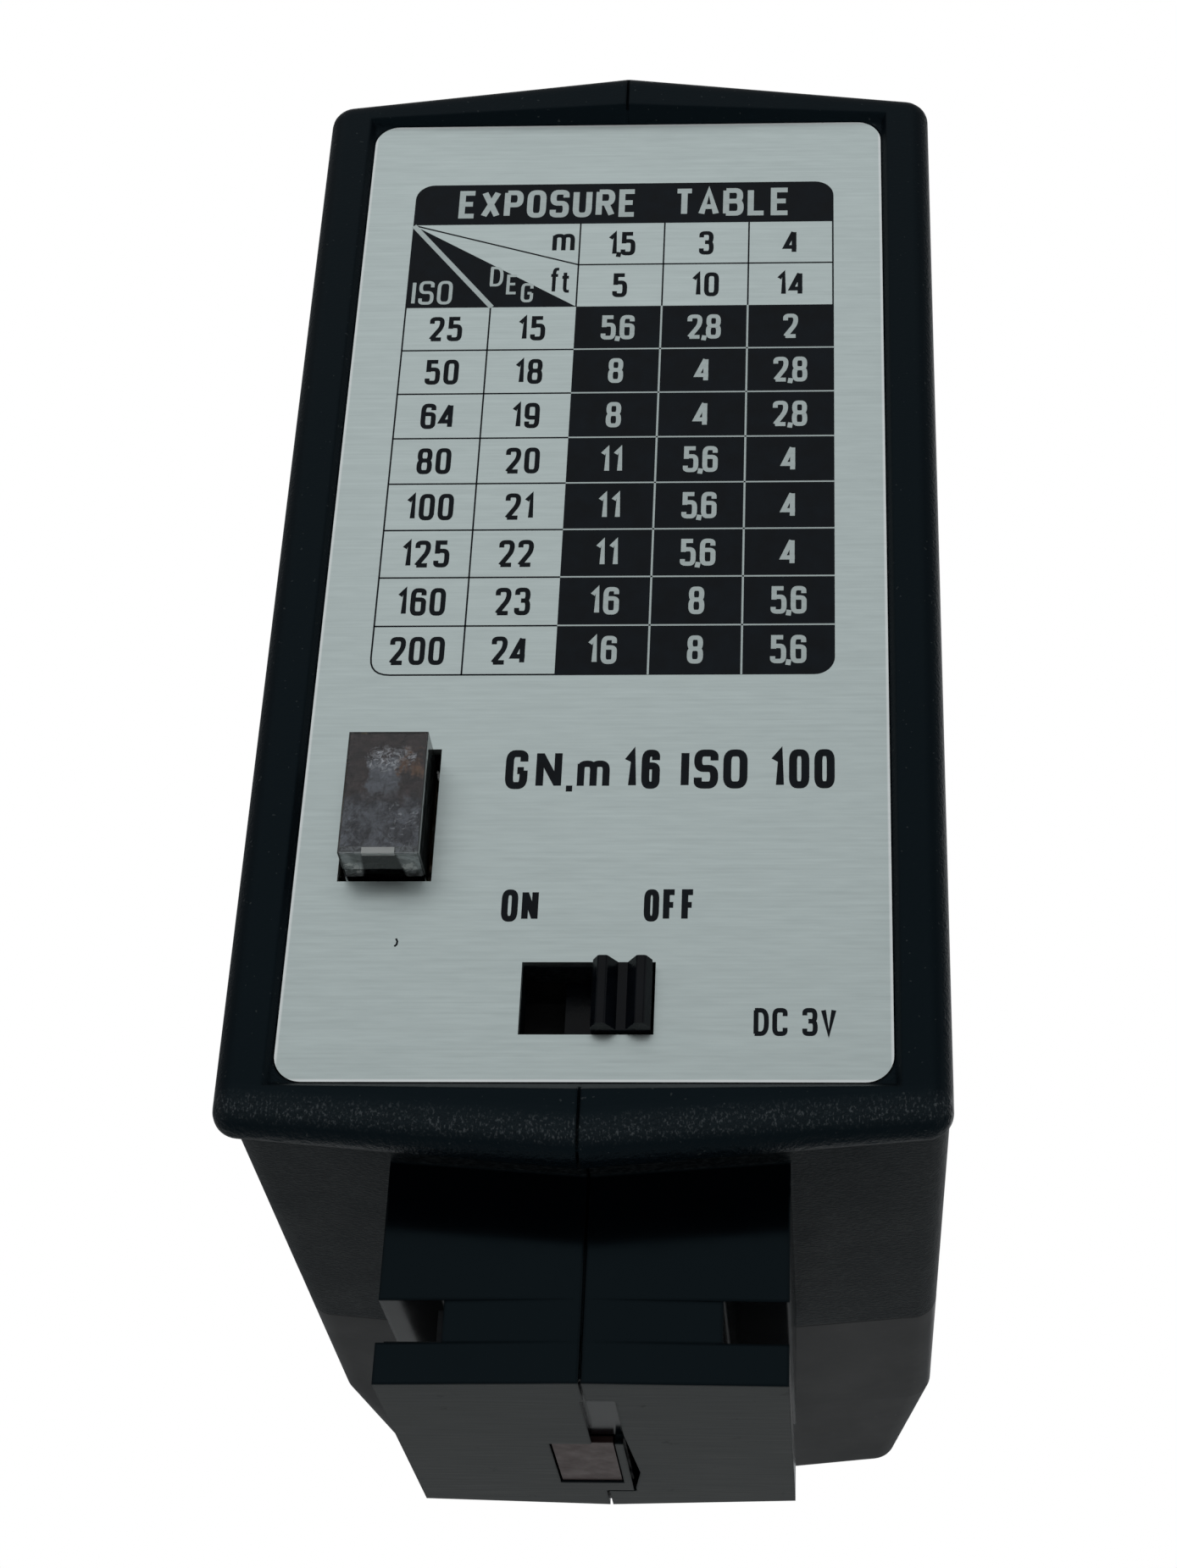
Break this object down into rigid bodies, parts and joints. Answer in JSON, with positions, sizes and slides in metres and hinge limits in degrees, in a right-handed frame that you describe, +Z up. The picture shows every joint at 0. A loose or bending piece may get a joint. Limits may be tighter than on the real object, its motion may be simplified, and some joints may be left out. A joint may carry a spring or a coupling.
{
  "type": "electronic flash",
  "caption": "Compact battery-powered electronic flash with shoe foot, exposure panel, clear test button, slide switch and hinged battery door.",
  "frame": {"origin": "centre of the shoe foot's underside", "axes": "+Z up from the foot to the battery door, +Y forward to the flash window, +X to the right seen from the rear exposure panel"},
  "size_m": [0.033, 0.0532, 0.0732],
  "materials": {
    "case_plastic": "fine textured black moulding",
    "cover_plastic": "smooth black moulding",
    "panel_aluminium": "horizontally brushed, printed",
    "clear_plastic": "clear polished moulding",
    "window_plastic": "ribbed clear moulding",
    "flash_glass": "clear glass tube",
    "lamp_glass": "neon lamp glass",
    "foil": "crinkled foil",
    "mirror": "bright vapour-coated",
    "knob_plastic": "black",
    "inner_plastic": "black moulding",
    "spring_steel": "nickel-plated",
    "screw_steel": "zinc-plated",
    "copper": "copper strip",
    "contact_brass": "bright brass",
    "board": "phenolic board",
    "resistor_body": "banded lacquer",
    "diode_body": "black with a band",
    "transistor_body": "black epoxy",
    "film_capacitor": "lacquered",
    "coil_winding": "enamelled wire",
    "capacitor_sleeve": "dark blue sleeve",
    "ferrite": "grey-black ferrite",
    "cell_sleeve": "printed sleeve"
  },
  "bodies": {
    "body": {"case_left": "case_plastic", "case_right": "case_plastic", "case_screws": "screw_steel", "front_cover": "cover_plastic", "hinge_pin": "spring_steel", "exposure_panel": "panel_aluminium", "ready_lamp": "lamp_glass", "button_spring": "spring_steel", "test_contact": "contact_brass", "switch_body": "inner_plastic", "switch_terminals": "contact_brass", "battery_tray": "inner_plastic", "battery_cell_left": "cell_sleeve", "battery_cell_right": "cell_sleeve", "negative_leaf": "spring_steel", "positive_contact": "contact_brass", "circuit_board": "board", "resistors": "resistor_body", "rectifier_diode": "diode_body", "power_transistor": "transistor_body", "trigger_capacitor": "film_capacitor", "trigger_coil": "coil_winding", "flash_window": "window_plastic", "reflector": "mirror", "flash_tube": "flash_glass", "tube_caps": "spring_steel", "main_capacitor": "capacitor_sleeve", "capacitor_clip": "spring_steel", "transformer_core": "ferrite", "transformer_coil": "coil_winding", "ground_spring": "spring_steel"},
    "knob": {"switch_knob": "knob_plastic", "switch_wiper": "contact_brass"},
    "button": {"test_button": "clear_plastic", "button_foil": "foil"},
    "door": {"battery_door": "case_plastic", "bridge_contact": "contact_brass"},
    "contact": {"shoe_contact": "copper"}
  },
  "joints": [
    {"name": "power_switch", "type": "slide", "parent": "body", "child": "knob", "axis": [-1, 0, 0], "range_m": [0, 0.0031]},
    {"name": "test_button_press", "type": "slide", "parent": "body", "child": "button", "axis": [0, 1, 0], "range_m": [0, 0.001], "stiffness_N_per_m": 600, "springref_m": -0.0005, "deforming": ["button_spring"]},
    {"name": "battery_door_hinge", "type": "hinge", "parent": "body", "child": "door", "pos_m": [0, 0.01025, 0.0722], "axis": [-1, 0, 0], "range_deg": [0, 100]},
    {"name": "shoe_contact_press", "type": "slide", "parent": "body", "child": "contact", "axis": [0, 0, 1], "range_m": [0, 0.0004], "stiffness_N_per_m": 800, "springref_m": -0.0002}
  ]
}
